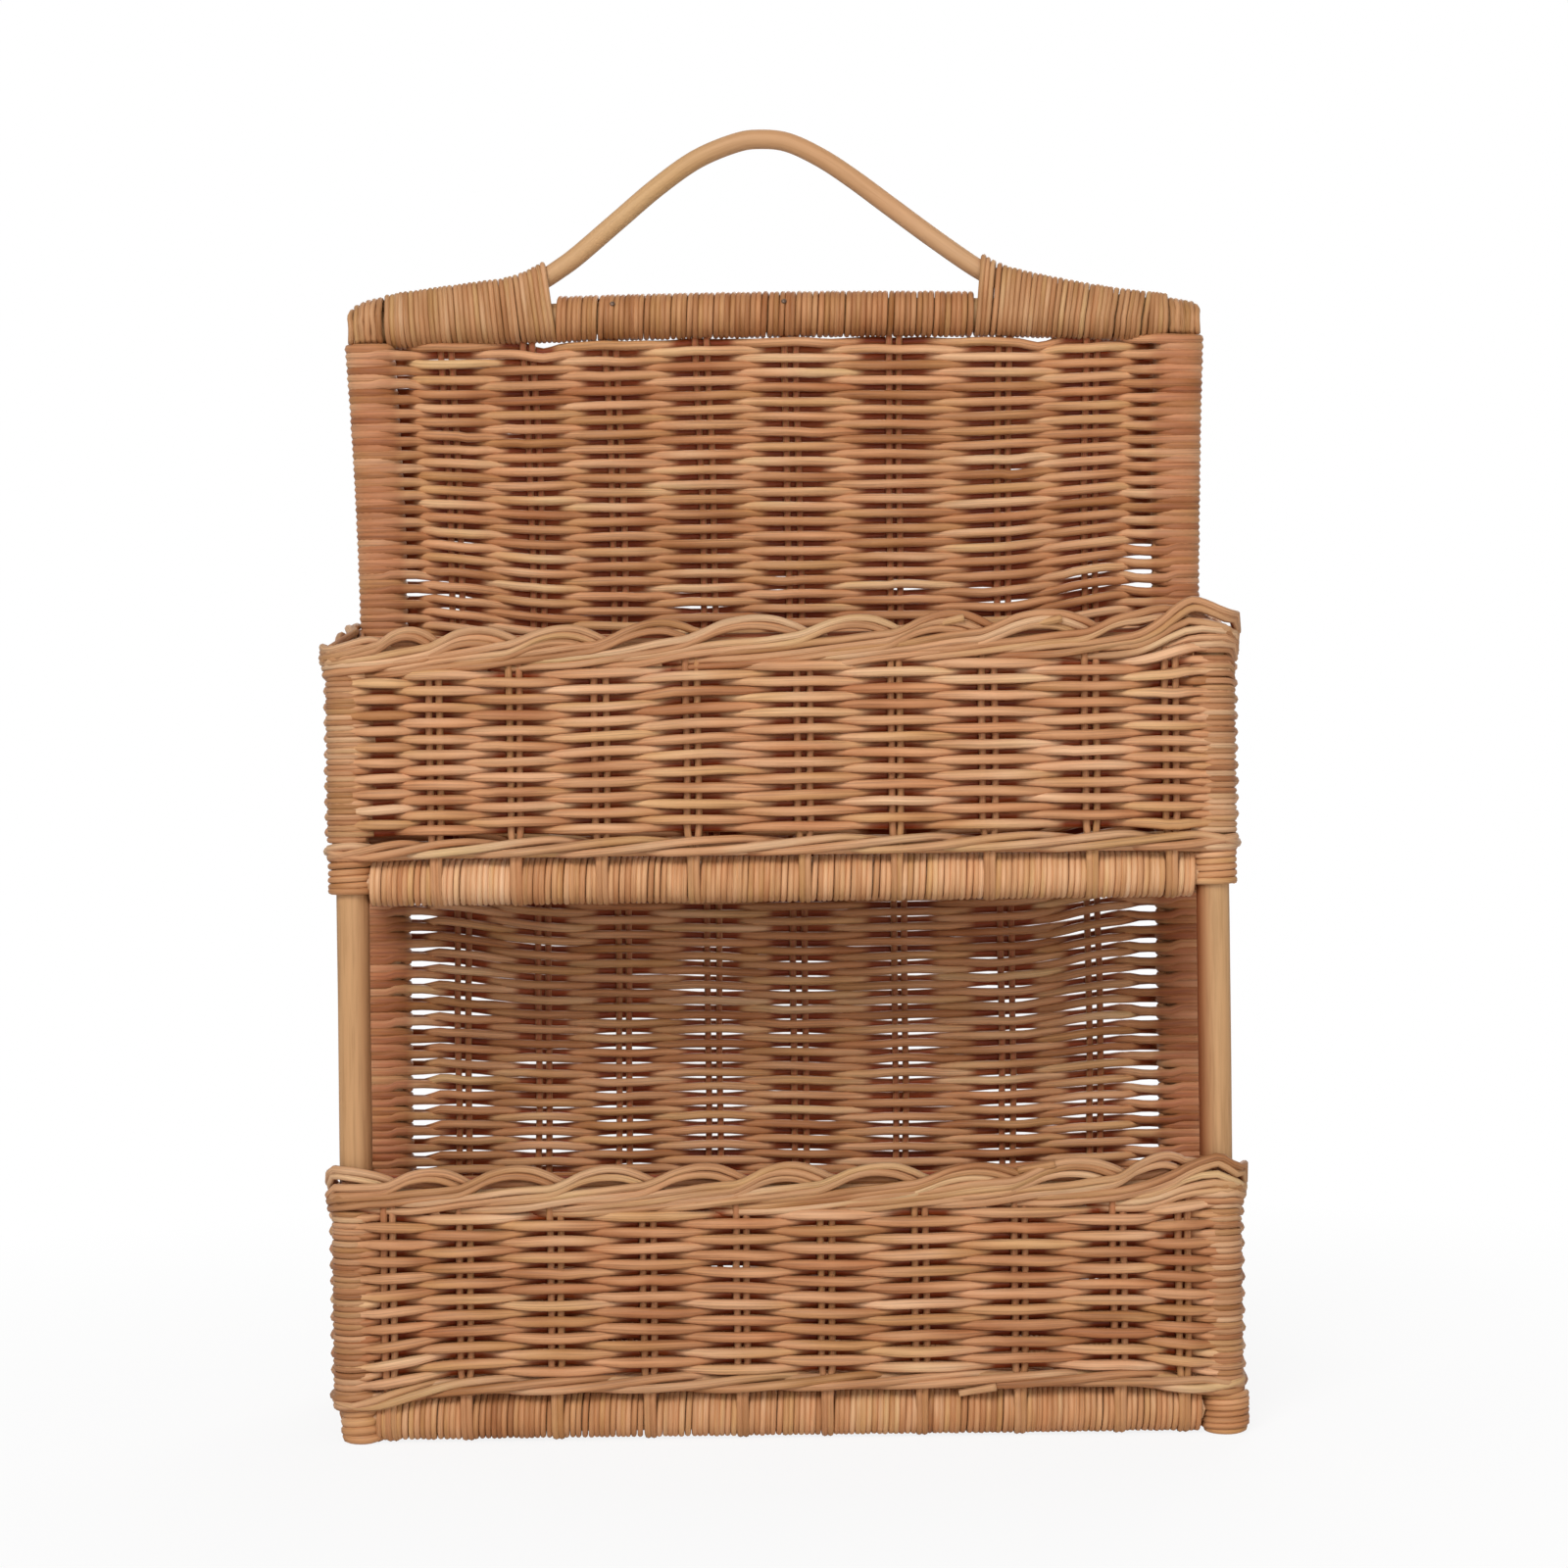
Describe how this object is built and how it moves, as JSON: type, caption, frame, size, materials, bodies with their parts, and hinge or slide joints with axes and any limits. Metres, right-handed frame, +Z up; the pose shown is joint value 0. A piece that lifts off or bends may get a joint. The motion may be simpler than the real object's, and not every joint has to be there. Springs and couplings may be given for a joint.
{
  "type": "hanging rattan basket",
  "caption": "Two-tier wall-hanging rattan basket: pole frame with a woven back, two open woven trays with plaited rims, and a bent cane bow handle to hang it by.",
  "frame": {"origin": "centre of the bounding box in x and y, at the feet of the posts", "axes": "+X to the right along the front, +Y from the front to the woven back, +Z up towards the bow"},
  "size_m": [0.3688, 0.1334, 0.5385],
  "materials": {
    "pole_cane": "bare peeled rattan pole, satin, fine lengthwise grain",
    "handle_cane": "smooth peeled cane with a low sheen",
    "binding_cane": "round core cane strands wound side by side, satin",
    "weave": "woven core cane, honey tan with darker and greener strands, matt to satin",
    "stake_cane": "round core cane, matt to satin"
  },
  "bodies": {
    "root": {"back_left_post": "pole_cane", "back_right_post": "pole_cane", "front_left_post": "pole_cane", "front_right_post": "pole_cane", "top_rail": "pole_cane", "back_bottom_rail": "pole_cane", "upper_front_rail": "pole_cane", "upper_left_rail": "pole_cane", "upper_right_rail": "pole_cane", "upper_back_rail": "pole_cane", "lower_front_rail": "pole_cane", "lower_left_rail": "pole_cane", "lower_right_rail": "pole_cane", "handle_bow": "handle_cane", "left_handle_binding": "binding_cane", "right_handle_binding": "binding_cane", "top_rail_wrap": "binding_cane", "upper_front_rail_wrap": "binding_cane", "lower_front_rail_wrap": "binding_cane", "back_bottom_rail_wrap": "binding_cane", "upper_left_lashing": "binding_cane", "upper_right_lashing": "binding_cane", "lower_left_foot_lashing": "binding_cane", "lower_right_foot_lashing": "binding_cane", "top_left_corner_cap": "binding_cane", "top_right_corner_cap": "binding_cane", "back_panel_weave": "weave", "upper_wall_weave": "weave", "lower_wall_weave": "weave", "upper_floor_weave": "weave", "lower_floor_weave": "weave", "upper_rim_border": "weave", "lower_rim_border": "weave", "back_stake_pair_1": "stake_cane", "back_stake_pair_2": "stake_cane", "back_stake_pair_3": "stake_cane", "back_stake_pair_4": "stake_cane", "back_stake_pair_5": "stake_cane", "back_stake_pair_6": "stake_cane", "back_stake_pair_7": "stake_cane", "back_stake_pair_8": "stake_cane", "upper_stake_pair_1": "stake_cane", "upper_stake_pair_2": "stake_cane", "upper_stake_pair_3": "stake_cane", "upper_stake_pair_4": "stake_cane", "upper_stake_pair_5": "stake_cane", "upper_stake_pair_6": "stake_cane", "upper_stake_pair_7": "stake_cane", "upper_stake_pair_8": "stake_cane", "upper_stake_pair_9": "stake_cane", "lower_stake_pair_1": "stake_cane", "lower_stake_pair_2": "stake_cane", "lower_stake_pair_3": "stake_cane", "lower_stake_pair_4": "stake_cane", "lower_stake_pair_5": "stake_cane", "lower_stake_pair_6": "stake_cane", "lower_stake_pair_7": "stake_cane", "lower_stake_pair_8": "stake_cane", "lower_stake_pair_9": "stake_cane", "lower_stake_pair_10": "stake_cane"}
  },
  "joints": []
}
